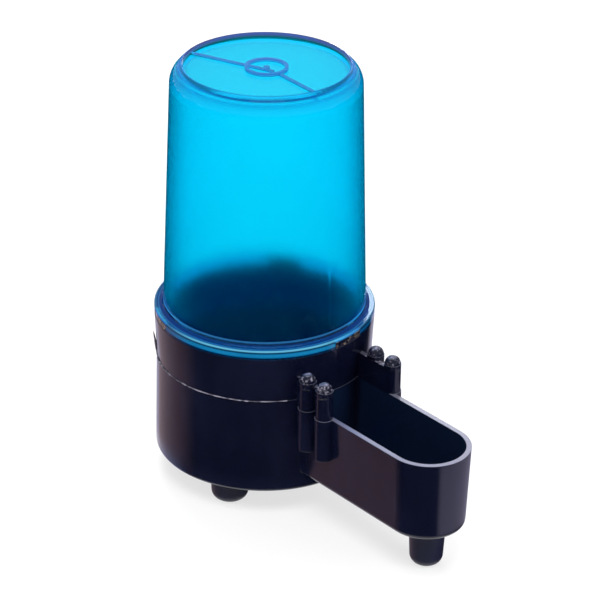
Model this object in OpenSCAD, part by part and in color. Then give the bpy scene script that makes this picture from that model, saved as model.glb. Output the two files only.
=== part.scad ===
// Siphon drinker for a cage: a clear blue reservoir stands mouth down in a black moulded
// base, and the base's trough reaches forward between two cage wires.
// All lengths are in millimetres. +X runs along the trough, +Z is up, and the origin lies
// on the table under the middle of the plan outline.

/* [Cup] */
// Outer radius of the cup at its parting line
cup_r = 31.2; // [29:0.1:36]
// Height of the cup from its underside to the seat on its collar
cup_h = 42.8; // [38:0.1:60]
// How much wider the cup is at its underside, on the radius
cup_flare = 0.45; // [0:0.05:0.8]
// How much wider the collar is at its seat, on the radius
collar_flare = 0.5; // [0:0.05:0.8]
// Wall thickness of the base moulding
wall = 1.5; // [1.2:0.05:2]
// Thickness of the cup's floor
floor_t = 1.8; // [1.2:0.1:3]
// Round along the cup's bottom edge
cup_edge_r = 1.2; // [0.5:0.1:2]
// Height of the mould's parting line above the cup's underside
parting_h = 29.4; // [24:0.1:32]
// Step between the two mould halves at the parting line
parting_step = 0.15; // [0.05:0.05:0.3]

/* [Collar keys] */
// Number of keys that rise from the collar's seat into the reservoir's flange
key_count = 3; // [2:1:6]
// Width of a key, measured round the collar
key_w = 10.6; // [6:0.2:14]
// Height of a key
key_h = 1.9; // [1:0.1:2]
// Thickness of a key, along the radius
key_t = 1.1; // [0.9:0.05:1.3]
// How far a key's outer face stands in from the collar's edge
key_inset = 0.1; // [0.1:0.05:0.2]
// Angle of the first key from the trough, in degrees
key_angle = 9; // [0:1:60]
// Clearance round a key in its notch
key_fit = 0.2; // [0.1:0.05:0.4]

/* [Trough] */
// Outer width of the trough at its rim
trough_w = 23.8; // [20:0.1:30]
// Reach of the trough's tip from the cup's wall
trough_reach = 50.8; // [40:0.1:70]
// Height of the trough's underside above the cup's underside
trough_lift = 5.2; // [4:0.1:10]
// Draft of the trough's walls, in degrees
trough_draft = 2; // [0.5:0.25:4]
// Round along the trough's bottom edge
trough_edge_r = 1.8; // [1:0.1:3.5]

/* [Water port] */
// Width of the port between the cup and the trough
port_w = 10; // [6:0.5:12]
// Height of the port, which sets the water level in the trough
port_h = 8; // [6.5:0.5:12]

/* [Wire ribs] */
// Radius of a rib below the parting line
rib_r = 2.7; // [2.2:0.1:3.2]
// How much thinner a rib is above the parting line, on the radius
rib_step = 0.25; // [0.1:0.05:0.4]
// Distance of the first rib's axis from the cup's wall
rib_gap = 3; // [1:0.1:5]
// Spacing of the two ribs of a pair, with a cage wire between them
rib_pitch = 7.1; // [6.8:0.1:10]
// How far a rib's axis stands outside the trough's wall
rib_offset = 0.7; // [0:0.1:1.5]
// Length of a rib below the trough's rim
rib_below = 12.8; // [8:0.1:16]
// Length of a rib's body above the trough's rim
rib_above = 8.6; // [5:0.1:10]
// Radius of the ball on a rib
ball_r = 2.3; // [1.6:0.05:2.4]
// Height of the web between the ribs above the trough's rim
web_h = 7.5; // [3:0.1:8]

/* [Feet] */
// Height of the cup's underside above the table
foot_h = 7.6; // [5:0.1:12]
// Radius of a cup foot where it leaves the underside
foot_r = 5.7; // [4:0.1:6]
// Radius of the trough's foot at the same height
trough_foot_r = 5; // [4:0.1:6]
// Taper of a foot, on the radius, over its height under the cup
foot_taper = 0.3; // [0.1:0.05:1]
// Round at a foot's end
foot_end_r = 2.8; // [1:0.1:3]
// Distance of the cup's feet from its axis
foot_ring_r = 23.2; // [16:0.1:24]
// Angle of the two front feet from the trough, in degrees
foot_angle = 64; // [50:1:75]
// How far the trough's foot stands in front of the centre of the trough's round end
foot_forward = 1; // [0:0.1:3]

/* [Reservoir] */
// Height of the reservoir above its seat on the collar
res_h = 75.6; // [50:0.1:100]
// How far the flange stands out from the reservoir's wall
flange_w = 2.65; // [2.4:0.05:3]
// Draft of the reservoir's wall, in degrees
res_draft = 1.87; // [0.5:0.05:3]
// Round between the wall and the slope of the shoulder
shoulder_r = 6.2; // [3:0.1:8]
// Reach of the shoulder from the wall in to the raised edge
shoulder_w = 3.4; // [3:0.1:6]
// Round inside the shoulder
inner_r = 4; // [2:0.1:6]
// Wall thickness of the reservoir
res_wall = 1.4; // [1:0.05:1.8]
// Thickness of the flange at its edge
flange_t = 2.6; // [2.4:0.1:4]
// Round along the flange's upper edge
flange_edge_r = 0.4; // [0.2:0.05:0.5]
// Radius of the fillet between the wall and the flange
flange_fillet = 1.5; // [0.8:0.1:1.7]
// Length of the spigot that plugs into the cup
spigot_len = 12; // [8:0.1:16]
// Radial clearance between the spigot and the cup
spigot_fit = 0.15; // [0.1:0.05:0.3]
// Depth of the flat end below its raised edge
end_recess = 1.6; // [1.2:0.1:2.4]
// Width of the raised edge round the flat end, which has a round top
edge_w = 0.8; // [0.6:0.1:1.2]
// Height of the raised ring on the flat end
ring_h = 0.9; // [0.4:0.05:1.1]
// Height of the two raised ribs on the flat end
end_rib_h = 0.6; // [0.2:0.05:0.9]
// Outer radius of the raised ring round the moulding gate
ring_r = 6.1; // [4:0.1:8]
// Width of that ring and of the two raised ribs
relief_w = 0.9; // [0.6:0.1:1.4]
// Radius of the gate mark
gate_r = 0.9; // [0.5:0.1:1.5]
// Direction of the short raised rib from the trough, in degrees
short_rib_dir = -3; // [-20:1:20]
// Direction of the long raised rib from the trough, in degrees
long_rib_dir = 201; // [190:1:230]
// How far the long rib passes beside the gate mark
long_rib_offset = 1.5; // [0:0.1:3]

/* [Hidden] */
$fn = 96;
// Overlap where one solid is joined to another, and overshoot of a cut
eps = 0.01;
over = 1;
// Number of chords in a small round
arc_steps = 6;

cup_base_r = cup_r + cup_flare;
collar_r = cup_r + collar_flare;
cup_in_r = cup_r - wall;
cup_mid_r = cup_r - wall / 2;
spigot_r = cup_in_r - spigot_fit;
res_low_r = collar_r - flange_w;

// The shoulder slopes at this angle, and touches its round and the raised edge
slope = 45;
edge_r = edge_w / 2;
shoulder_z = res_h - edge_r - shoulder_w + edge_r / sin(slope) - shoulder_r * (1 / sin(slope) - 1);
edge_ring_r = res_r(shoulder_z) - shoulder_w;
disc_h = res_h - end_recess;
inner_z = disc_h - res_wall - inner_r;

trough_r = trough_w / 2;
tip_x = cup_r + trough_reach;
end_x = tip_x - trough_r;
trough_in_r = trough_r - wall;
trough_floor_h = trough_lift + wall;

rib_y = trough_r + rib_offset;
rib_x = cup_r + rib_gap;
web_top_h = parting_h + web_h;
foot_x = end_x + foot_forward;

// The plan outline runs from the back of the cup to the trough's tip
cup_x = (cup_base_r - tip_x) / 2;

// Points on an arc about c, from angle a0 to a1
function arc(c, r, a0, a1, steps = arc_steps) =
    [for (i = [0 : steps]) c + r * [cos(a0 + (a1 - a0) * i / steps), sin(a0 + (a1 - a0) * i / steps)]];

// Outer radius of the reservoir's drafted wall at height z above the seat
function res_r(z) = res_low_r - (z - flange_t) * tan(res_draft);

// Everything is drawn about the cup's axis with the cup's underside at height 0
module at_cup() translate([cup_x, 0, foot_h]) children();

module base() color([0.05, 0.06, 0.12]) at_cup() difference() {
    union() {
        cup();
        collar_keys();
        trough();
        rib_balls();
        feet();
    }
    water_port();
}

// Round cup, whose collar ends in the flat seat for the reservoir's flange
module cup() rotate_extrude() polygon(concat(
    [[0, 0]],
    arc([cup_base_r - cup_edge_r, cup_edge_r], cup_edge_r, -90, 0),
    [[cup_r, parting_h], [cup_r - parting_step, parting_h], [collar_r, cup_h], [cup_in_r, cup_h]],
    arc([cup_in_r - cup_edge_r, floor_t + cup_edge_r], cup_edge_r, 0, -90),
    [[0, floor_t]]));

// Ring sectors near the collar's edge: the keys, or with a clearance the open notches for them
module key_ring(fit) {
    sweep = (key_w + 2 * fit) / collar_r * 180 / PI;
    for (i = [0 : key_count - 1])
        rotate(key_angle - sweep / 2 + i * 360 / key_count)
            rotate_extrude(angle = sweep)
                translate([collar_r - key_inset - key_t - fit, -wall / 2])
                    square([key_t + (fit > 0 ? fit + over : 0), wall / 2 + key_h + fit]);
}

module collar_keys() translate([0, 0, cup_h]) key_ring(0);

// Half section of a trough-shaped solid, outwards from its axis: r_rim is its half width
// at the height of the rim, and the drafted wall runs on to the height top
function slot_half(r_rim, low, top, edge_r) =
    let (t = tan(trough_draft), r_low = r_rim - (parting_h - low) * t,
         cx = r_low - edge_r * (1 - sin(trough_draft)) / cos(trough_draft))
    concat(arc([cx, low + edge_r], edge_r, -90, -trough_draft), [[r_rim + (top - parting_h) * t, top]]);

// A straight run ended by a half round, all of one drafted section
module slot_solid(r_rim, low, top, edge_r) {
    half = slot_half(r_rim, low, top, edge_r);
    count = len(half);
    mirrored = [for (i = [0 : count - 1]) [-half[count - 1 - i].x, half[count - 1 - i].y]];
    rotate([90, 0, 90]) linear_extrude(end_x) polygon(concat(half, mirrored));
    translate([end_x, 0, 0]) rotate(-90) rotate_extrude(angle = 180)
        polygon(concat([[0, low]], half, [[0, top]]));
}

// Open trough with its wire ribs, cut clear of the cup's inside
module trough() difference() {
    union() {
        trough_block();
        for (side = [-1, 1], i = [0, 1])
            translate([rib_x + i * rib_pitch, side * rib_y, parting_h]) rib_column();
    }
    slot_solid(trough_in_r, trough_floor_h, web_top_h + over, trough_edge_r - wall / 2);
    translate([0, 0, -over]) cylinder(r = cup_mid_r, h = cup_h + 2 * over);
}

// Full block of the trough, which stands higher beside the cup as the web between the ribs
module trough_block() difference() {
    slot_solid(trough_r, trough_lift, web_top_h, trough_edge_r);
    translate([rib_x + rib_pitch, -trough_w, parting_h]) cube([trough_reach, 2 * trough_w, web_h + over]);
}

// Two cylinders that step in at the parting line
module rib_column() {
    translate([0, 0, -rib_below]) cylinder(r = rib_r, h = rib_below);
    translate([0, 0, -rib_below / 2]) cylinder(r = rib_r - rib_step, h = rib_below / 2 + rib_above);
}

// Balls on the ribs, which keep a cage wire from sliding off the top
module rib_balls()
    for (side = [-1, 1], i = [0, 1])
        translate([rib_x + i * rib_pitch, side * rib_y, parting_h + rib_above]) sphere(r = ball_r);

// One foot of radius r at the cup's underside, from the table up to height top
module foot(r, top) {
    r_end = r - foot_taper;
    r_top = r + foot_taper * top / foot_h;
    translate([0, 0, -foot_h]) rotate_extrude() polygon(concat(
        [[0, 0]],
        arc([r_end - foot_end_r, foot_end_r], foot_end_r, -90, 0),
        [[r_top, foot_h + top], [0, foot_h + top]]));
}

module feet() {
    for (a = [-foot_angle, foot_angle, 180])
        rotate(a) translate([foot_ring_r, 0, 0]) foot(foot_r, floor_t / 2);
    translate([foot_x, 0, 0]) foot(trough_foot_r, trough_lift + wall / 2);
}

// Arched port at the foot of the wall between the cup and the trough
module water_port() translate([cup_in_r - wall, 0, trough_floor_h])
    rotate([90, 0, 90]) linear_extrude(3 * wall) intersection() {
        translate([-port_w / 2, 0]) square([port_w, port_h]);
        union() {
            translate([-port_w / 2, 0]) square([port_w, port_h - port_w / 2]);
            translate([0, port_h - port_w / 2]) circle(r = port_w / 2);
        }
    }

module reservoir() color([0.0, 0.62, 0.9, 0.6]) at_cup() translate([0, 0, cup_h]) {
    difference() {
        reservoir_shell();
        key_ring(key_fit);
    }
    end_relief();
}

// Drawn from the seat up: spigot, flange with its rounds, drafted wall, shoulder and flat end
module reservoir_shell() {
    bore_r = res_low_r - res_wall;
    disc_r = edge_ring_r - edge_r;
    in_r = res_r(inner_z) - res_wall;
    rotate_extrude() polygon(concat(
        [[bore_r, -spigot_len], [spigot_r, -spigot_len], [spigot_r, 0], [collar_r, 0]],
        arc([collar_r - flange_edge_r, flange_t - flange_edge_r], flange_edge_r, 0, 90),
        arc([res_low_r + flange_fillet, flange_t + flange_fillet], flange_fillet, -90, -180),
        arc([res_r(shoulder_z) - shoulder_r, shoulder_z], shoulder_r, 0, slope, 2 * arc_steps),
        arc([edge_ring_r, res_h - edge_r], edge_r, slope, 180),
        [[disc_r, disc_h], [0, disc_h], [0, disc_h - res_wall]],
        arc([in_r - inner_r, inner_z], inner_r, 90, 0, 2 * arc_steps),
        [[bore_r, flange_t]]));
}

// Raised ring, gate mark and two ribs on the flat end
module end_relief() translate([0, 0, disc_h - eps]) {
    difference() {
        cylinder(r = ring_r, h = ring_h + eps);
        translate([0, 0, -over]) cylinder(r = ring_r - relief_w, h = ring_h + 2 * over);
    }
    cylinder(r = gate_r, h = end_rib_h + eps);
    rotate(short_rib_dir) translate([ring_r - relief_w / 2, -relief_w / 2, 0])
        cube([edge_ring_r - ring_r + relief_w / 2, relief_w, end_rib_h + eps]);
    rotate(long_rib_dir) translate([-ring_r / 2, long_rib_offset - relief_w / 2, 0])
        cube([edge_ring_r + ring_r / 2, relief_w, end_rib_h + eps]);
}

base();
reservoir();
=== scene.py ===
"""Looks for a siphon drinker: a clear blue reservoir on a glossy black base with a trough."""
import math

import bpy
import numpy as np
from bpy.props import FloatProperty, FloatVectorProperty, IntProperty, PointerProperty
from bpy.types import Operator, Panel, PropertyGroup
from mathutils import Matrix, Vector


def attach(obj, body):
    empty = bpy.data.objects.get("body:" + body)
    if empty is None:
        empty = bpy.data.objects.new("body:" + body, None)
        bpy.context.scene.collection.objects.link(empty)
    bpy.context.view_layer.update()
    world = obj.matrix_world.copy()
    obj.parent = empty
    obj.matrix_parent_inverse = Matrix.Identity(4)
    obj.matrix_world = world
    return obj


bl_info = {
    "name": "Siphon Drinker Looks",
    "version": (1, 0, 0),
    "blender": (4, 5, 0),
    "location": "View3D > Sidebar > Drinker",
    "description": "Dresses the drinker's solids in moulded plastic and sets them in a studio",
    "category": "Object",
}

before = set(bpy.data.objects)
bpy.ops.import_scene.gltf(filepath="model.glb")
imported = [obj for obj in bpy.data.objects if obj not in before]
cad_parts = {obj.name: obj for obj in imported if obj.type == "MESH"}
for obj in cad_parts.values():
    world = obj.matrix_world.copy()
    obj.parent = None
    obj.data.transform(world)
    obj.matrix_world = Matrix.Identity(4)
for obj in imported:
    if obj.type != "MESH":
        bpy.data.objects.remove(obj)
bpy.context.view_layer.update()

MM = 0.001

# Places on the solids, in metres in the drinker's own frame
CUP_X = -25.175 * MM
CUP_R = 31.2 * MM
CUP_UNDER_Z = 7.6 * MM
TROUGH_UNDER_Z = 12.8 * MM
PARTING_Z = 37.0 * MM
RIM_X = 6.0 * MM
FOOT_X = 38.0 * MM
# Centre of the trough's round end
TIP_X = 44.9 * MM
SEAT_Z = 50.4 * MM
FLANGE_TOP_Z = 53.0 * MM
RES_LOW_R = 29.05 * MM
RES_DRAFT = math.radians(1.87)
# Radius and height add up to this all along the shoulder's slope of 45 degrees
SLOPE_SUM = 149.62 * MM
ROOF_Z = 124.4 * MM
CREST_Z = 126.0 * MM
INNER_Z = 123.0 * MM
FLANGE_R = 31.7 * MM
# Middle of the walls and floors of the cup and the trough, and how the trough's wall leans
CUP_MID_R = 30.4 * MM
CUP_FLOOR_Z = 8.5 * MM
TROUGH_MID_Y = 11.15 * MM
TROUGH_FLOOR_Z = 13.6 * MM
TROUGH_LEAN = math.tan(math.radians(2))
# The balls on the ribs start here, and a painted reflection of the lit floor pales the cup's wall
# towards its foot between these
BALL_Z = PARTING_Z + 7.0 * MM
HEM_LOW_Z, HEM_TOP_Z = 8.5 * MM, 14.0 * MM
# The painted highlight on the rim's top sets in and is full at these places along the trough
RIM_LIGHT_START_X, RIM_LIGHT_FULL_X = 8.0 * MM, 32.0 * MM
# Reach of the raised lines on the reservoir's end, and the line along the flange's top
RAISED_R = 22.4 * MM
RIDGE_R = 30.45 * MM

# Tints that stay as they are: duller feet, painted highlight on the rim's top, golden
# patches on the keys, painted shade on the raised lines of the end
FEET_TINT = (0.002, 0.004, 0.035)
RIM_HIGHLIGHT_TINT = (0.30, 0.30, 0.40)
KEY_PATCH_TINT = (0.36, 0.28, 0.19)
RAISED_SHADE_TINT = (0.2, 0.05, 0.25)
WHITE = (1.0, 1.0, 1.0)
BLACK = (0.0, 0.0, 0.0)
IOR = 1.5

# The flash ring starts at one pair of ribs, at this angle in degrees from +X, and goes round
# the back to the other pair. Its reach and its sag are drawn with these seeds
RING_START = 27.5
REACH_SEED, SAG_SEED = 5, 9
# Sliver of flash at the cup's left: its middle and half its span in degrees, and its sizes
CURL_TURN = -129.0
CURL_HALF_TURN = 4.0
CURL_H = 5.6 * MM
CURL_LEAN = 0.95 * MM
CURL_T = 0.16 * MM

# Studio, in metres and degrees: the floor, the two big cards, and what the small cards cover
FLOOR_R = 3.0
FLOOR_Z = -0.1 * MM
FRONT_CARD_R = 2.0
FRONT_CARD_TURNS = (-190, 170)
FRONT_CARD_LOW_Z, FRONT_CARD_TOP_Z = -2.2, -0.02
SKY_CARD_R = 1.9
SKY_CARD_CLIMB = (1, 66)
SHADE_LOW_Z, SHADE_TOP_Z = 0.054, 0.9
TIP_CARD_TURNS = (-17, 110)
TIP_CARD_IN_R, TIP_CARD_OUT_R = 0.028, 0.080
POOL_TURNS = (-128, -84)
POOL_LOW_Z, POOL_TOP_Z = 0.5 * MM, 14.0 * MM
POOL_FADE_Z, POOL_FADE_H = 13.5 * MM, 5.5 * MM

# What the cards show in reflections, as (angle in degrees from +X, colour)
FRONT_GLOW = (
    (-180, (0.62, 0.45, 0.50)),
    (-158, (0.49, 0.35, 0.41)),
    (-145, (0.41, 0.24, 0.26)),
    (-133, (0.29, 0.17, 0.18)),
    (-119, BLACK),
    (106, BLACK),
    (113, (0.7, 0.65, 0.85)),
)
SKY_GLOW = (
    (-145, (0.24, 0.24, 0.24)),
    (-130, (0.34, 0.34, 0.34)),
    (60, (0.34, 0.34, 0.34)),
    (75, (0.24, 0.24, 0.24)),
)
TIP_GLOW = (
    (-17, BLACK),
    (-6, (0.85, 0.8, 1.1)),
    (30, (0.75, 0.7, 0.95)),
    (110, (0.3, 0.27, 0.38)),
)
POOL_GLOW = (
    (-118, (1.2, 1.15, 1.3)),
    (-105, (0.8, 0.75, 1.15)),
    (-95, (0.5, 0.55, 0.9)),
    (-84, BLACK),
)
SHADE_GLOW = ((0, BLACK),)
# Side on which the painted glows of the flange's side and lip are strongest, in degrees from +X
PAINTED_GLOW_TURN = -41.1
# Direction of the camera about the drinker, in degrees, and how far out on the floor an
# upright wall mirrors, for each metre of height
CAMERA_TURN = -41.1
MIRROR_REACH = 2.03


# Shader maths


class Value:
    """A node's output, with operators that add the Math nodes for a sum."""

    def __init__(self, graph, socket):
        self.graph = graph
        self.socket = socket

    def maths(self, operation, first, second):
        return self.graph.node("ShaderNodeMath", {"operation": operation}, {0: first, 1: second})

    def __add__(self, other):
        return self.maths("ADD", self, other)

    def __radd__(self, other):
        return self.maths("ADD", other, self)

    def __sub__(self, other):
        return self.maths("SUBTRACT", self, other)

    def __rsub__(self, other):
        return self.maths("SUBTRACT", other, self)

    def __mul__(self, other):
        return self.maths("MULTIPLY", self, other)

    def __rmul__(self, other):
        return self.maths("MULTIPLY", other, self)

    def __truediv__(self, other):
        return self.maths("DIVIDE", self, other)

    def __rtruediv__(self, other):
        return self.maths("DIVIDE", other, self)

    def root(self):
        return self.maths("SQRT", self, 0.0)

    def least(self, other):
        return self.maths("MINIMUM", self, other)

    def most(self, other):
        return self.maths("MAXIMUM", self, other)

    def rise(self, start, end):
        """0 below start, 1 above end and smooth between; the other way round if start > end."""
        low, high = min(start, end), max(start, end)
        to = (0.0, 1.0) if start < end else (1.0, 0.0)
        return self.graph.node(
            "ShaderNodeMapRange",
            {"interpolation_type": "SMOOTHSTEP"},
            {"Value": self, "From Min": low, "From Max": high, "To Min": to[0], "To Max": to[1]},
        )


class Graph:
    """Builds the node tree of one material or world."""

    def __init__(self, owner):
        owner.use_nodes = True
        self.tree = owner.node_tree
        self.tree.nodes.clear()

    def node(self, kind, settings=None, sockets=None, output=0):
        """Adds a node, sets it up, then fills its sockets with values or links."""
        made = self.tree.nodes.new(kind)
        for name, value in (settings or {}).items():
            setattr(made, name, value)
        for name, value in (sockets or {}).items():
            if isinstance(value, Value):
                self.tree.links.new(value.socket, made.inputs[name])
            else:
                made.inputs[name].default_value = value
        return Value(self, made.outputs[output])

    def place(self):
        """Object coordinates, whole and as x, y and z."""
        whole = self.node("ShaderNodeTexCoord", output="Object")
        split = self.node("ShaderNodeSeparateXYZ", None, {0: whole})
        parts = [Value(self, split.socket.node.outputs[i]) for i in range(3)]
        return whole, *parts

    def noise(self, at, size, detail=2.0, rough=0.5, squash=(1.0, 1.0, 1.0)):
        """Noise whose blotches are about size metres across, from 0 to 1."""
        scaled = self.node(
            "ShaderNodeVectorMath",
            {"operation": "MULTIPLY"},
            {0: at, 1: tuple(s / size for s in squash)},
        )
        return self.node(
            "ShaderNodeTexNoise",
            None,
            {"Vector": scaled, "Scale": 1.0, "Detail": detail, "Roughness": rough},
        )

    def mix_colour(self, factor, first, second):
        """From the first colour to the second as the factor goes from 0 to 1."""
        made = self.node("ShaderNodeMix", {"data_type": "RGBA"}, None, output=2)
        inputs = made.socket.node.inputs
        for index, value in ((0, factor), (6, first), (7, second)):
            if isinstance(value, Value):
                self.tree.links.new(value.socket, inputs[index])
            elif index == 0:
                inputs[index].default_value = value
            else:
                inputs[index].default_value = (*value, 1.0)[:4]
        return made

    def layers(self, ground, *coats):
        """Lays colours over a ground one by one, each given after the mask that shows it."""
        for mask, colour in coats:
            ground = self.mix_colour(mask, ground, colour)
        return ground

    def bump(self, height, distance, strength, edge=None):
        """A bumped normal, over edges that look rounded with the radius edge if one is given."""
        sockets = {"Height": height, "Distance": distance, "Strength": strength}
        if edge:
            sockets["Normal"] = self.node("ShaderNodeBevel", {"samples": 6}, {"Radius": edge})
        return self.node("ShaderNodeBump", None, sockets)

    def output(self, surface, volume=None, kind="ShaderNodeOutputMaterial"):
        made = self.tree.nodes.new(kind)
        self.tree.links.new(surface.socket, made.inputs["Surface"])
        if volume is not None:
            self.tree.links.new(volume.socket, made.inputs["Volume"])


# Materials


def black_plastic(look):
    """Glossy black moulding: faint flow mottling, hairline wear and duller feet, with painted
    light: a painted highlight on the rim's top, painted glints on the balls, painted light inside
    the cup and the trough, and a painted reflection of the lit floor near the cup's foot.
    """
    mat = bpy.data.materials.new("black_plastic")
    g = Graph(mat)
    at, x, y, z = g.place()

    # Where the feet, the rim's top, the balls, the two insides and the cup's foot are
    feet = z.rise(CUP_UNDER_Z + 0.1 * MM, CUP_UNDER_Z - 0.5 * MM).most(
        z.rise(TROUGH_UNDER_Z + 0.1 * MM, TROUGH_UNDER_Z - 0.4 * MM) * x.rise(FOOT_X, FOOT_X + MM)
    )
    normal = g.node("ShaderNodeNewGeometry", output="Normal")
    up = Value(g, g.node("ShaderNodeSeparateXYZ", None, {0: normal}).socket.node.outputs[2])
    # Painted highlight: the rim's top is painted paler, fainter towards the cup
    rim = up.rise(0.75, 0.95) * z.rise(PARTING_Z - 0.5 * MM, PARTING_Z - 0.1 * MM)
    rim = rim * (x.rise(RIM_LIGHT_START_X, RIM_LIGHT_FULL_X) * 0.7 + 0.3)
    balls = z.rise(BALL_Z - 0.5 * MM, BALL_Z + 0.5 * MM) * x.rise(RIM_X, RIM_X + MM)
    dx = x - CUP_X
    in_cup = (dx * dx + y * y).root().rise(CUP_MID_R, CUP_MID_R - 0.3 * MM)
    in_cup = in_cup * z.rise(CUP_FLOOR_Z, CUP_FLOOR_Z + 0.3 * MM)
    # How far inside the middle of the trough's wall a point lies
    past = (x - TIP_X).most(0.0)
    spare = TROUGH_MID_Y - (PARTING_Z - z) * TROUGH_LEAN - (past * past + y * y).root()
    in_trough = spare.rise(-0.1 * MM, 0.1 * MM) * x.rise(RIM_X - MM, RIM_X)
    in_trough = in_trough * z.rise(TROUGH_FLOOR_Z, TROUGH_FLOOR_Z + 0.3 * MM)
    in_trough = in_trough * z.rise(PARTING_Z - 0.1 * MM, PARTING_Z - 0.4 * MM)
    # Painted reflection: the cup's wall is painted paler near its foot, where it mirrors the lit
    # floor
    cup_foot_painted_light = z.rise(HEM_TOP_Z, HEM_LOW_Z) * x.rise(RIM_X + 4 * MM, RIM_X)

    # Patterns, from the widest to the finest
    flow = g.noise(at, 14 * MM, 3.0, 0.55, (1.0, 1.0, 0.5))
    mottle = g.noise(at, 3.2 * MM, 3.0, 0.6)
    dimples = g.noise(at, 1.3 * MM, 2.0, 0.5)
    hairs = g.noise(at, 1.2 * MM, 4.0, 0.7, (1.0, 1.0, 0.08))
    specks = g.noise(at, 0.8 * MM, 3.0, 0.6)
    grain = g.noise(at, 0.5 * MM, 2.0, 0.6)

    deep = tuple(look.colour)
    pale = tuple(min(1.0, 2.2 * c + 0.004) for c in deep)
    # Painted glints: pale specks on the up-facing tops of the balls
    ball_painted_glints = balls * specks.rise(0.5, 0.68) * up.rise(-0.1, 0.6)
    # Golden patches on the keys above the seat
    keys = z.rise(SEAT_Z + 0.05 * MM, SEAT_Z + 0.3 * MM) * grain.rise(0.5, 0.62)
    keys = keys * mottle.rise(0.42, 0.54)
    colour = g.layers(
        deep,
        (flow.rise(0.35, 0.7) * 0.4, pale),
        (feet * 0.7, FEET_TINT),
        # Painted highlight on the rim's top
        (rim * look.rim_painted_highlight, RIM_HIGHLIGHT_TINT),
        # Painted reflection of the lit floor near the cup's foot
        (cup_foot_painted_light * 0.35, pale),
        # Painted light: the cup's inside is painted bluer, for the reservoir's blue light
        (in_cup, look.inner),
        # Painted light: the trough's inside is painted lighter and bluer, as lit from above
        (in_trough * 0.6, look.trough_painted_light),
        # Painted glints on the balls
        (ball_painted_glints * 0.55, look.flash),
        (keys * 0.85, KEY_PATCH_TINT),
    )
    roughness = look.roughness + (mottle - 0.5) * 0.08 + hairs.rise(0.62, 0.75) * 0.07
    roughness = roughness + feet * 0.3 + rim * 0.07
    height = mottle * 0.5 + grain * (0.06 + feet * 0.5) + flow * 3.0 + balls * dimples * 9.0
    shader = g.node(
        "ShaderNodeBsdfPrincipled",
        None,
        {
            "Base Color": colour,
            "Roughness": roughness,
            "IOR": IOR,
            "Specular Tint": (*look.sheen, 1.0),
            "Normal": g.bump(height, 0.03 * MM, 0.8, edge=0.3 * MM),
        },
    )
    g.output(shader)
    return mat


def flash_plastic(look):
    """Thin flash of the black moulding, pale where it is thinnest, with pale patches along it
    that are painted glints.
    """
    mat = bpy.data.materials.new("flash_plastic")
    g = Graph(mat)
    at, _, _, z = g.place()
    nicks_and_glints = g.noise(at, 1.6 * MM, 3.0, 0.6)
    fin = z.rise(PARTING_Z + 0.4 * MM, PARTING_Z + 1.2 * MM)
    # Pale patches along the flash are painted glints; the thin sliver is paler in its own colour
    pale = (nicks_and_glints.rise(0.45, 0.62) * 0.75 + 0.12).most(fin * 0.45)
    shader = g.node(
        "ShaderNodeBsdfPrincipled",
        None,
        {
            "Base Color": g.mix_colour(pale, look.colour, look.flash),
            "Roughness": 0.25 + nicks_and_glints * 0.3,
            "IOR": IOR,
            "Normal": g.bump(nicks_and_glints, 0.1 * MM, 0.6),
        },
    )
    g.output(shader)
    return mat


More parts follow.
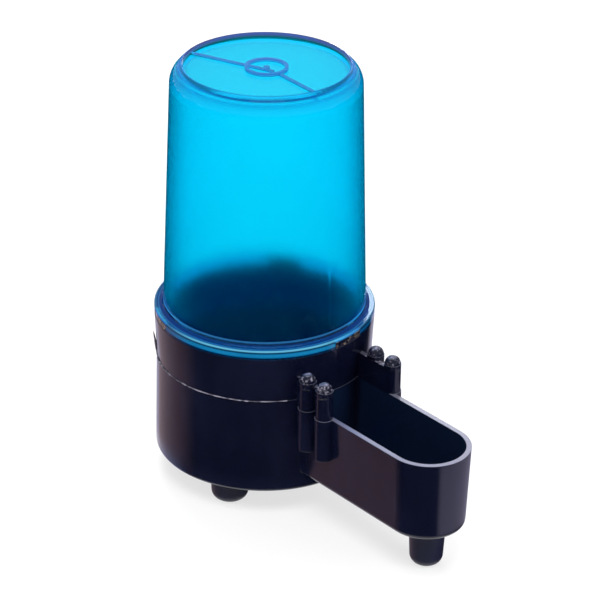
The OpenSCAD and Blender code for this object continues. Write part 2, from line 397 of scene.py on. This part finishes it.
def blue_plastic(look):
    """Clear blue moulding: gloss outside, a fine frost inside, colour from its thickness, and
    painted glows on its flange, wall's foot, spigot, end and raised edge; painted shade on the
    raised lines.
    """
    mat = bpy.data.materials.new("blue_plastic")
    g = Graph(mat)
    at, x, y, z = g.place()
    dx = x - CUP_X
    radius = (dx * dx + y * y).root()
    # How deep under the outside a point lies tells the frosted inside from the gloss
    outside = RES_LOW_R - (z - FLANGE_TOP_Z) * math.tan(RES_DRAFT)
    slope = (SLOPE_SUM - radius - z) * math.sqrt(0.5)
    inside = (outside - radius).least(ROOF_Z - z).least(slope).rise(0.6 * MM, 1.1 * MM)

    # What stands up from the end, the crest round it, and the places on the flange, the wall's
    # foot and the spigot that get painted glows: emission standing in for highlights and light
    raised = z.rise(ROOF_Z + 0.1 * MM, ROOF_Z + 0.35 * MM)
    raised = raised * radius.rise(RAISED_R + 0.2 * MM, RAISED_R - 0.2 * MM)
    crest = z.rise(CREST_Z - 0.8 * MM, CREST_Z - 0.4 * MM)
    side = radius.rise(FLANGE_R - 0.15 * MM, FLANGE_R - 0.05 * MM)
    side = side * z.rise(SEAT_Z + 0.5 * MM, SEAT_Z + 1.1 * MM)
    side = side * (z.rise(FLANGE_TOP_Z - 0.5 * MM, FLANGE_TOP_Z - 1.0 * MM) * 0.8 + 0.2)
    lip = radius.rise(FLANGE_R - 0.8 * MM, FLANGE_R - 0.5 * MM)
    lip = lip * z.rise(FLANGE_TOP_Z - 0.35 * MM, FLANGE_TOP_Z - 0.15 * MM)
    top = radius.rise(RES_LOW_R + 0.1 * MM, RES_LOW_R + 0.4 * MM)
    top = top * z.rise(FLANGE_TOP_Z - 0.3 * MM, FLANGE_TOP_Z - 0.1 * MM)
    foot = z.rise(FLANGE_TOP_Z + 1.0 * MM, FLANGE_TOP_Z + 1.35 * MM)
    foot = foot * z.rise(FLANGE_TOP_Z + 1.9 * MM, FLANGE_TOP_Z + 1.55 * MM)
    foot = foot * (outside - radius).rise(0.5 * MM, 0.2 * MM)
    turn = math.radians(PAINTED_GLOW_TURN)
    facing = (dx * math.cos(turn) + y * math.sin(turn)) / radius
    lit = facing.rise(0.5, 0.9)
    uneven = (g.noise(at, 10 * MM, 2.0, 0.6) * 0.9 + 0.55).least(1.0)
    ridge = radius.rise(RIDGE_R - 0.3 * MM, RIDGE_R - 0.1 * MM)
    ridge = ridge * radius.rise(RIDGE_R + 0.3 * MM, RIDGE_R + 0.1 * MM)
    spigot = z.rise(SEAT_Z - 0.2 * MM, SEAT_Z - 1.0 * MM)
    end = z.rise(ROOF_Z - 0.3 * MM, ROOF_Z - 0.1 * MM)
    end = end * z.rise(ROOF_Z + 0.5 * MM, ROOF_Z + 0.2 * MM)
    crest_painted_glow = g.mix_colour(facing.rise(0.5, -0.3), look.painted_glow_near, look.painted_glow_crest)
    # Painted glows: emission that stands in for highlights and light, though no lamp is there
    edges = g.layers(
        BLACK,
        (top * uneven, look.painted_glow_top),
        (top * ridge * uneven * 0.8, look.painted_glow_foot),
        (spigot, look.painted_glow_spigot),
        (side * uneven * (lit * 0.7 + 0.3), look.painted_glow_side),
        (lip * uneven * (lit * 0.75 + 0.25), look.painted_glow_lip),
        (foot * uneven, look.painted_glow_foot),
        (end, look.painted_glow_end),
        (z.rise(ROOF_Z + 0.2 * MM, CREST_Z - 0.5 * MM), crest_painted_glow),
        (raised * 0.5, look.painted_glow_crest),
    )

    frost = g.noise(at, 0.45 * MM, 3.0, 0.7)
    sparkle = g.noise(at, 0.22 * MM, 1.0, 0.5)
    waves = g.noise(at, 9 * MM, 2.0, 0.5, (1.0, 1.0, 0.4))
    roughness = look.gloss + inside * (look.frost - look.gloss) + (frost - 0.5) * 0.05
    roughness = roughness + crest * facing.rise(-0.5, 0.1) * 0.3
    height = inside * (frost * 0.8 + sparkle * 0.6) + waves * 0.06
    skin = g.layers(
        look.tint,
        (frost, WHITE),
        (z.rise(INNER_Z - 0.5 * MM, INNER_Z - 0.1 * MM), WHITE),
        (spigot * 0.8, look.spigot),
        # Painted shade: the raised lines on the end are tinted dark
        (raised * 0.85, RAISED_SHADE_TINT),
    )
    shader = g.node(
        "ShaderNodeBsdfPrincipled",
        None,
        {
            "Base Color": skin,
            "Roughness": roughness,
            "IOR": IOR,
            "Transmission Weight": 1.0,
            "Specular Tint": (*look.sheen, 1.0),
            "Emission Color": edges,
            "Emission Strength": 1.0,
            "Normal": g.bump(height, 0.02 * MM, 0.7),
        },
    )
    let_through = g.node("ShaderNodeBsdfTransparent", None, {"Color": (*look.shadow, 1.0)})
    in_shadow = g.node("ShaderNodeLightPath", output="Is Shadow Ray")
    surface = g.node("ShaderNodeMixShader", None, {0: in_shadow, 1: shader, 2: let_through})
    volume = g.node(
        "ShaderNodeVolumeAbsorption",
        None,
        {"Color": (*look.colour, 1.0), "Density": look.density},
    )
    g.output(surface, volume)
    return mat


# Meshes


def add_object(name, data):
    """A new object, in the scene."""
    obj = bpy.data.objects.new(name, data)
    bpy.context.scene.collection.objects.link(obj)
    return obj


def grid_mesh(name, points, wrap=False, caps=False):
    """A mesh from a grid of points, counted (u, v, xyz), with quads between neighbours.

    Quad (i, j) joins points (i, j), (i + 1, j), (i + 1, j + 1) and (i, j + 1). A wrapped grid
    goes on from its last v to its first. Caps close the two ends of u by a face each.
    """
    nu, nv = points.shape[:2]
    i, j = np.meshgrid(np.arange(nu - 1), np.arange(nv if wrap else nv - 1), indexing="ij")
    i, j = i.ravel(), j.ravel()
    here, ahead, j2 = i * nv, (i + 1) * nv, (j + 1) % nv
    quads = np.stack([here + j, ahead + j, ahead + j2, here + j2], 1)
    faces = [tuple(q) for q in quads.tolist()]
    if caps:
        faces.append(tuple(range(nv))[::-1])
        faces.append(tuple(range((nu - 1) * nv, nu * nv)))
    mesh = bpy.data.meshes.new(name)
    mesh.from_pydata(points.reshape(-1, 3).tolist(), [], faces)
    mesh.validate()
    mesh.update()
    return add_object(name, mesh)


def smooth(obj):
    obj.data.polygons.foreach_set("use_smooth", np.ones(len(obj.data.polygons), bool))
    obj.data.update()


def ragged(angle, seed, waves=((3, 0.5), (11, 0.3), (29, 0.35), (67, 0.3), (131, 0.2))):
    """A ragged height over an angle: a sum of sine waves with seeded phases, 0 to about 1."""
    rng = np.random.default_rng(seed)
    total = 0.0
    for count, size in waves:
        total = total + size * np.sin(count * angle + rng.uniform(0, 2 * math.pi))
    return np.clip(0.5 + 0.5 * total, 0.0, None)


def glow(table, angle):
    """The colour at each angle, in radians, by straight lines between a table's rows."""
    turns = [math.radians(turn) for turn, _ in table]
    parts = [np.interp(angle, turns, [colour[k] for _, colour in table]) for k in range(3)]
    return np.stack(parts, -1)


def dress(node, material):
    """Gives a node of the frame one material."""
    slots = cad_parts[node].data.materials
    slots.clear()
    slots.append(material)


# Settings


class DrinkerBlack(PropertyGroup):
    """Finish of the base."""

    colour: FloatVectorProperty(
        name="Colour", description="Colour of the black plastic", subtype="COLOR",
        default=(0.0025, 0.0036, 0.0135), min=0.0, max=1.0,
    )
    sheen: FloatVectorProperty(
        name="Sheen", description="Tint of the straight reflections", subtype="COLOR",
        default=(1.0, 1.0, 1.0), min=0.0, max=1.0,
    )
    roughness: FloatProperty(
        name="Roughness", description="Roughness of the moulded gloss", subtype="FACTOR",
        default=0.16, min=0.0, max=1.0,
    )
    # Strength of the painted highlight on the rim's top, which is painted paler
    rim_painted_highlight: FloatProperty(
        name="Rim wear", description="How far the rim's top edge has paled", subtype="FACTOR",
        default=0.55, min=0.0, max=1.0,
    )
    # Colour of the thin flash, and of the painted glints on the balls and along the flash
    flash: FloatVectorProperty(
        name="Flash", description="Colour of the thin flash", subtype="COLOR",
        default=(0.45, 0.42, 0.52), min=0.0, max=1.0,
    )
    # Painted light: the reservoir's blue light in the cup, painted into the inside's colour
    inner: FloatVectorProperty(
        name="Cup inside", description="Colour inside the cup, which the reservoir tints",
        subtype="COLOR", default=(0.002, 0.003, 0.055), min=0.0, max=1.0,
    )
    # Painted light: the trough's inside is painted lighter and bluer, as lit from above
    trough_painted_light: FloatVectorProperty(
        name="Trough inside", description="Colour inside the trough, under a film of water",
        subtype="COLOR", default=(0.005, 0.014, 0.04), min=0.0, max=1.0,
    )


class DrinkerBlue(PropertyGroup):
    """Finish of the reservoir."""

    colour: FloatVectorProperty(
        name="Colour", description="Colour that the plastic lets through", subtype="COLOR",
        default=(0.0, 0.936, 0.989), min=0.0, max=1.0,
    )
    density: FloatProperty(
        name="Density", description="How strongly the plastic's depth colours the light",
        default=2200.0, min=0.0,
    )
    tint: FloatVectorProperty(
        name="Tint", description="Colour of the frosted skin", subtype="COLOR",
        default=(0.7, 0.89, 0.98), min=0.0, max=1.0,
    )
    spigot: FloatVectorProperty(
        name="Spigot", description="Colour of the skin of the part that plugs into the cup",
        subtype="COLOR", default=(0.5, 0.8, 1.0), min=0.0, max=1.0,
    )
    sheen: FloatVectorProperty(
        name="Sheen", description="Tint of the straight reflections", subtype="COLOR",
        default=(0.35, 0.85, 1.0), min=0.0, max=1.0,
    )
    shadow: FloatVectorProperty(
        name="Shadow", description="Colour of the light that passes one face", subtype="COLOR",
        default=(0.2, 0.79, 0.94), min=0.0, max=1.0,
    )
    gloss: FloatProperty(
        name="Gloss", description="Roughness of the outside", subtype="FACTOR",
        default=0.05, min=0.0, max=1.0,
    )
    frost: FloatProperty(
        name="Frost", description="Roughness of the inside", subtype="FACTOR",
        default=0.24, min=0.0, max=1.0,
    )
    # The colours below are painted glows: emission that stands in for highlights and light
    painted_glow_spigot: FloatVectorProperty(
        name="Spigot glow", description="Light that leaves by the part that plugs into the cup",
        subtype="COLOR", default=(0.0, 0.0, 0.012), min=0.0, max=1.0,
    )
    painted_glow_side: FloatVectorProperty(
        name="Flange side", description="Light that leaves by the flange's side",
        subtype="COLOR", default=(0.008, 0.20, 0.42), min=0.0, max=1.0,
    )
    painted_glow_top: FloatVectorProperty(
        name="Flange top", description="Light that leaves by the flange's flat top",
        subtype="COLOR", default=(0.0, 0.028, 0.135), min=0.0, max=1.0,
    )
    painted_glow_lip: FloatVectorProperty(
        name="Flange lip", description="Light that leaves by the flange's upper edge",
        subtype="COLOR", default=(0.12, 0.44, 0.60), min=0.0, max=1.0,
    )
    painted_glow_foot: FloatVectorProperty(
        name="Wall foot", description="Light that leaves by the foot of the wall",
        subtype="COLOR", default=(0.02, 0.13, 0.31), min=0.0, max=1.0,
    )
    painted_glow_end: FloatVectorProperty(
        name="End", description="Light that leaves by the reservoir's flat end",
        subtype="COLOR", default=(0.0, 0.11, 0.11), min=0.0, max=1.0,
    )
    painted_glow_near: FloatVectorProperty(
        name="End edge, lit side", description="Light that leaves by the raised edge's lit side",
        subtype="COLOR", default=(0.0, 0.085, 0.20), min=0.0, max=1.0,
    )
    painted_glow_crest: FloatVectorProperty(
        name="End edge", description="Light that leaves by the end's raised edge",
        subtype="COLOR", default=(0.055, 0.062, 0.21), min=0.0, max=1.0,
    )


class DrinkerFlash(PropertyGroup):
    """Flash along the base's parting line."""

    width: FloatProperty(
        name="Width", description="Widest reach of the flash from the wall", subtype="DISTANCE",
        unit="LENGTH", default=0.32 * MM, min=0.0, max=MM, precision=5,
    )
    thickness: FloatProperty(
        name="Thickness", description="Thickness of the flash at the wall", subtype="DISTANCE",
        unit="LENGTH", default=0.22 * MM, min=0.0, max=MM, precision=5,
    )
    steps: IntProperty(
        name="Steps", description="Steps along the parting line", default=900, min=100, max=4000
    )


class DrinkerStudio(PropertyGroup):
    """Floor, lamps and camera."""

    floor_colour: FloatVectorProperty(
        name="Floor", description="Colour of the floor", subtype="COLOR",
        default=(0.85, 0.85, 0.86), min=0.0, max=1.0,
    )
    shadow_share: FloatProperty(
        name="Shadow share", description="How much of the shadow the floor keeps",
        subtype="FACTOR", default=0.3, min=0.0, max=1.0,
    )
    ambient: FloatProperty(
        name="Ambient", description="Level of the light from all round", default=0.55, min=0.0
    )
    camera_place: FloatVectorProperty(
        name="Camera", description="Where the camera stands", subtype="TRANSLATION",
        unit="LENGTH", default=(0.47855, -0.41761, 0.39046),
    )
    camera_aim: FloatVectorProperty(
        name="Aim", description="The point in the middle of the picture", subtype="TRANSLATION",
        unit="LENGTH", default=(0.0, -0.008179, 0.065696),
    )
    camera_roll: FloatProperty(
        name="Roll", description="Turn of the camera about its own line of sight",
        subtype="ANGLE", unit="ROTATION", default=math.radians(0.88011),
    )
    lens: FloatProperty(
        name="Lens", description="Focal length on a sensor 36 mm wide", default=153.748, min=1.0
    )


# Operators


class DRINKER_OT_stage(Operator):
    """Makes the camera, the pale floor, the lamps and the cards that shape reflections"""

    bl_idname = "drinker.stage"
    bl_label = "Stage"

    def execute(self, context):
        studio = context.scene.drinker_studio
        self.camera(context.scene, studio)
        self.floor(studio)
        self.world(context.scene, studio)
        self.lamps()
        self.cards()
        context.scene.view_settings.view_transform = "Standard"
        return {"FINISHED"}

    def camera(self, scene, studio):
        place, aim = Vector(studio.camera_place), Vector(studio.camera_aim)
        ahead = (aim - place).normalized()
        side = ahead.cross(Vector((0, 0, 1))).normalized()
        top = side.cross(ahead)
        c, s = math.cos(studio.camera_roll), math.sin(studio.camera_roll)
        right, up = side * c + top * s, top * c - side * s
        data = bpy.data.cameras.new("camera")
        data.lens, data.sensor_width = studio.lens, 36.0
        data.clip_start, data.clip_end = 0.01, 20.0
        scene.camera = add_object("camera", data)
        turn = Matrix((right, up, -ahead)).transposed().to_4x4()
        scene.camera.matrix_world = Matrix.Translation(place) @ turn

    def floor(self, studio):
        """A flat disc: a radius times the cosine and the sine of the angle, and one face in
        its middle."""
        angle = np.linspace(0, 2 * math.pi, 96, endpoint=False)
        radius = np.linspace(0.0, FLOOR_R, 12)[1:]
        r, a = np.meshgrid(radius, angle, indexing="ij")
        points = np.stack([r * np.cos(a), r * np.sin(a), np.full_like(r, FLOOR_Z)], -1)
        floor = grid_mesh("floor", points, wrap=True)
        centre = bpy.data.meshes.new("floor_centre")
        centre.from_pydata(points[0].tolist(), [], [tuple(range(len(angle)))])
        middle = add_object("floor_centre", centre)
        mat = bpy.data.materials.new("pale_floor")
        g = Graph(mat)
        matt = g.node("ShaderNodeBsdfDiffuse", None, {"Color": (*studio.floor_colour, 1.0)})
        white = g.node("ShaderNodeEmission", None, {"Color": (*WHITE, 1.0), "Strength": 1.0})
        share = self.seen(g) * (1.0 - studio.shadow_share)
        g.output(g.node("ShaderNodeMixShader", None, {0: share, 1: matt, 2: white}))
        for piece in (floor, middle):
            piece.data.materials.append(mat)
            piece.visible_glossy = False

    def seen(self, g):
        """1 for the rays that show the backdrop: camera, mirror and see-through rays."""
        path = g.node("ShaderNodeLightPath").socket.node
        parts = [
            Value(g, path.outputs[name])
            for name in ("Is Camera Ray", "Is Glossy Ray", "Is Transmission Ray")
        ]
        return parts[0].most(parts[1]).most(parts[2])

    def world(self, scene, studio):
        scene.world = bpy.data.worlds.new("studio")
        g = Graph(scene.world)
        light = {"Color": (*WHITE, 1.0), "Strength": studio.ambient}
        soft = g.node("ShaderNodeBackground", None, light)
        white = g.node("ShaderNodeBackground", None, {"Color": (*WHITE, 1.0), "Strength": 1.0})
        both = g.node("ShaderNodeMixShader", None, {0: self.seen(g), 1: soft, 2: white})
        g.output(both, kind="ShaderNodeOutputWorld")

    def lamps(self):
        middle, high_left = (0, 0, 0.05), (-0.55, 0.35, 0.75)
        matt, gloss = (True, False), (False, True)
        # name, place, aim, size, power, colour, and whether diffuse and glossy rays see it
        plan = (
            ("back_left", high_left, middle, (0.5, 0.4), 9.0, (1, 0.98, 0.96), matt),
            ("back_gloss", high_left, middle, (0.4, 0.4), 1.3, (0.85, 0.85, 1), gloss),
            ("front_top", (0.25, -0.35, 0.95), middle, (0.5, 0.5), 8.0, (1, 1, 1), matt),
            ("right_fill", (0.7, 0.3, 0.45), middle, (0.4, 0.4), 3.0, (0.95, 0.97, 1), matt),
            ("rim_strip", (-0.168, 0.212, 0.168), (0.02, 0.05, 0.04), (0.064, 0.05), 0.07,
             (0.88, 0.9, 1), gloss),
        )
        for name, place, aim, size, power, colour, seen_by in plan:
            data = bpy.data.lights.new(name, "AREA")
            data.shape, data.size, data.size_y = "RECTANGLE", size[0], size[1]
            data.energy, data.color = power, colour
            lamp = add_object(name, data)
            lamp.location = place
            way = Vector(aim) - Vector(place)
            lamp.rotation_euler = way.to_track_quat("-Z", "Y").to_euler()
            lamp.visible_camera = lamp.visible_transmission = False
            lamp.visible_diffuse, lamp.visible_glossy = seen_by

    def cards(self):
        """Cards that only reflections see.

        front: a round wall far off and below the floor's height, a radius times the cosine and
        the sine of the angle. sky: a dim dome, dimmer at the back than in front and open at its
        top: its radius times the cosine of the climb goes out, and times the sine goes up.
        shade: the dark part of the floor that the reservoir's wall mirrors. tip: a flat part
        of a ring round the trough's tip, a radius times the cosine and the sine of the angle.
        pool: the part of the floor that the cup's wall mirrors near its foot, with a glow that
        dies out as the height on the wall grows."""
        a, h = self.spread((*FRONT_CARD_TURNS, 181), (FRONT_CARD_LOW_Z, FRONT_CARD_TOP_Z, 2))
        self.card("front_card", FRONT_CARD_R * np.cos(a), FRONT_CARD_R * np.sin(a), h,
                  glow(FRONT_GLOW, a))
        a, h = self.spread((-180, 180, 181), (*np.radians(SKY_CARD_CLIMB), 14))
        out = SKY_CARD_R * np.cos(h)
        self.card("sky_card", out * np.cos(a), out * np.sin(a), SKY_CARD_R * np.sin(h),
                  glow(SKY_GLOW, a))
        turns = (CAMERA_TURN - 90, CAMERA_TURN + 90, 181)
        a, h = self.spread(turns, (SHADE_LOW_Z, SHADE_TOP_Z, 12))
        self.card("shade_card", *self.mirrored(RES_LOW_R, a, h), 0 * a, glow(SHADE_GLOW, a))
        a, r = self.spread((*TIP_CARD_TURNS, 64), (TIP_CARD_IN_R, TIP_CARD_OUT_R, 2))
        self.card("tip_card", TIP_X + r * np.cos(a), r * np.sin(a), 0 * a, glow(TIP_GLOW, a))
        a, h = self.spread((*POOL_TURNS, 88), (POOL_LOW_Z, POOL_TOP_Z, 28))
        fade = np.clip((POOL_FADE_Z - h) / POOL_FADE_H, 0.0, 1.0)
        self.card("pool_card", *self.mirrored(CUP_R, a, h), 0 * a - 0.02 * MM,
                  glow(POOL_GLOW, a), fade**2)

    def mirrored(self, radius, angle, height):
        """Where on the floor the camera sees itself sent by a round wall: from the wall's point
        at an angle, out by the reach of its height, at twice the angle less the camera's."""
        way = 2 * angle - math.radians(CAMERA_TURN)
        reach = MIRROR_REACH * height
        x = CUP_X + radius * np.cos(angle) + reach * np.cos(way)
        return x, radius * np.sin(angle) + reach * np.sin(way)

    def spread(self, turns, steps):
        """A grid of angles, in radians, against a second measure, each (first, last, count)."""
        return np.meshgrid(np.radians(np.linspace(*turns)), np.linspace(*steps), indexing="ij")

    def card(self, name, x, y, z, colour, cover=1.0):
        """A card with its glow and its cover, from 0 to 1, kept at its points."""
        made = grid_mesh(name, np.stack([x, y, z], -1))
        tint = np.concatenate([colour, np.broadcast_to(cover, x.shape)[..., None]], -1)
        attribute = made.data.color_attributes.new("glow", "FLOAT_COLOR", "POINT")
        attribute.data.foreach_set("color", tint.astype(np.float32).ravel())
        mat = bpy.data.materials.new(name)
        g = Graph(mat)
        tint = g.node("ShaderNodeAttribute", {"attribute_name": "glow"})
        covered = Value(g, tint.socket.node.outputs["Alpha"])
        clear = g.node("ShaderNodeBsdfTransparent")
        glows = g.node("ShaderNodeEmission", None, {"Color": tint})
        g.output(g.node("ShaderNodeMixShader", None, {0: covered, 1: clear, 2: glows}))
        made.data.materials.append(mat)
        made.visible_camera = made.visible_diffuse = made.visible_shadow = False
        made.visible_transmission = made.visible_volume_scatter = False


class DRINKER_OT_base(Operator):
    """Gives the base its glossy black plastic"""

    bl_idname = "drinker.base"
    bl_label = "Base"

    def execute(self, context):
        dress("base", black_plastic(context.scene.drinker_black))
        return {"FINISHED"}


class DRINKER_OT_reservoir(Operator):
    """Gives the reservoir its clear blue plastic"""

    bl_idname = "drinker.reservoir"
    bl_label = "Reservoir"

    def execute(self, context):
        dress("reservoir", blue_plastic(context.scene.drinker_blue))
        return {"FINISHED"}


class DRINKER_OT_flash(Operator):
    """Adds the ragged flash that the mould left along the parting line"""

    bl_idname = "drinker.flash"
    bl_label = "Flash"

    def execute(self, context):
        flash = context.scene.drinker_flash
        material = flash_plastic(context.scene.drinker_black)
        ring = self.ring(flash)
        curl = self.curl()
        for piece in (ring, curl):
            smooth(piece)
            piece.data.materials.append(material)
            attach(piece, "base_body")
        return {"FINISHED"}

    def ring(self, flash):
        """A thin blade bent round the cup: its section is a flat lozenge, whose outer point
        reaches out by a ragged width, and whose inner point lies inside the wall."""
        angle = np.radians(np.linspace(RING_START, 360.0 - RING_START, flash.steps))
        reach = (0.12 + 0.88 * ragged(angle, REACH_SEED)) * flash.width
        sag = 0.10 * MM * (ragged(angle, SAG_SEED) - 0.5)
        inner, half = CUP_R - 0.4 * MM, flash.thickness / 2
        out = np.stack([np.full_like(angle, inner), CUP_R + 0 * angle, CUP_R + reach,
                        CUP_R + 0 * angle], 1)
        rise = np.stack([0 * angle, -half + 0 * angle, sag, half + 0 * angle], 1)
        points = np.stack([CUP_X + out * np.cos(angle)[:, None], out * np.sin(angle)[:, None],
                           PARTING_Z + rise], -1)
        return grid_mesh("parting_flash", points, wrap=True, caps=True)

    def curl(self):
        """A sliver of flash that stands off the wall: up it the radius grows with the square
        root of the height, its height along the arc is half an ellipse, and its front and back
        come together in thin edges as its thickness falls with the rise."""
        turn = np.linspace(-1.0, 1.0, 61)
        angle = np.radians(CURL_TURN + CURL_HALF_TURN * turn)
        tall = CURL_H * np.sqrt(1.0 - turn**2) + 0.05 * MM
        up = np.linspace(0.0, 1.0, 13)
        a, h = np.meshgrid(angle, up, indexing="ij")
        rise = h * tall[:, None]
        lean = CURL_LEAN * np.sqrt(h) * (tall / tall.max())[:, None]
        half = CURL_T / 2 * np.sqrt(np.clip(1.0 - h**2, 0.0, 1.0)) + 0.005 * MM
        sides = []
        for sign in (1.0, -1.0):
            out = CUP_R - 0.05 * MM + lean + sign * half
            side = np.stack([CUP_X + out * np.cos(a), out * np.sin(a), PARTING_Z + rise], -1)
            sides.append(side if sign > 0 else side[:, ::-1])
        return grid_mesh("flash_curl", np.concatenate(sides, 1), wrap=True, caps=True)


class DRINKER_PT_looks(Panel):
    """Lists the drinker's steps and settings"""

    bl_idname = "DRINKER_PT_looks"
    bl_label = "Drinker"
    bl_space_type = "VIEW_3D"
    bl_region_type = "UI"
    bl_category = "Drinker"

    def draw(self, context):
        scene = context.scene
        for operator in OPERATORS:
            self.layout.operator(operator.bl_idname)
        for name, group in SETTINGS.items():
            box = self.layout.box()
            for prop in group.__annotations__:
                box.prop(getattr(scene, name), prop)


SETTINGS = {
    "drinker_black": DrinkerBlack,
    "drinker_blue": DrinkerBlue,
    "drinker_flash": DrinkerFlash,
    "drinker_studio": DrinkerStudio,
}
OPERATORS = (
    DRINKER_OT_stage,
    DRINKER_OT_base,
    DRINKER_OT_reservoir,
    DRINKER_OT_flash,
)


def register():
    for cls in (*SETTINGS.values(), *OPERATORS, DRINKER_PT_looks):
        bpy.utils.register_class(cls)
    for name, group in SETTINGS.items():
        setattr(bpy.types.Scene, name, PointerProperty(type=group))


def unregister():
    for name in SETTINGS:
        delattr(bpy.types.Scene, name)
    for cls in reversed((*SETTINGS.values(), *OPERATORS, DRINKER_PT_looks)):
        bpy.utils.unregister_class(cls)


def main():
    register()
    bpy.ops.drinker.stage()
    bpy.ops.drinker.base()
    bpy.ops.drinker.reservoir()
    bpy.ops.drinker.flash()


if __name__ == "__main__":
    main()
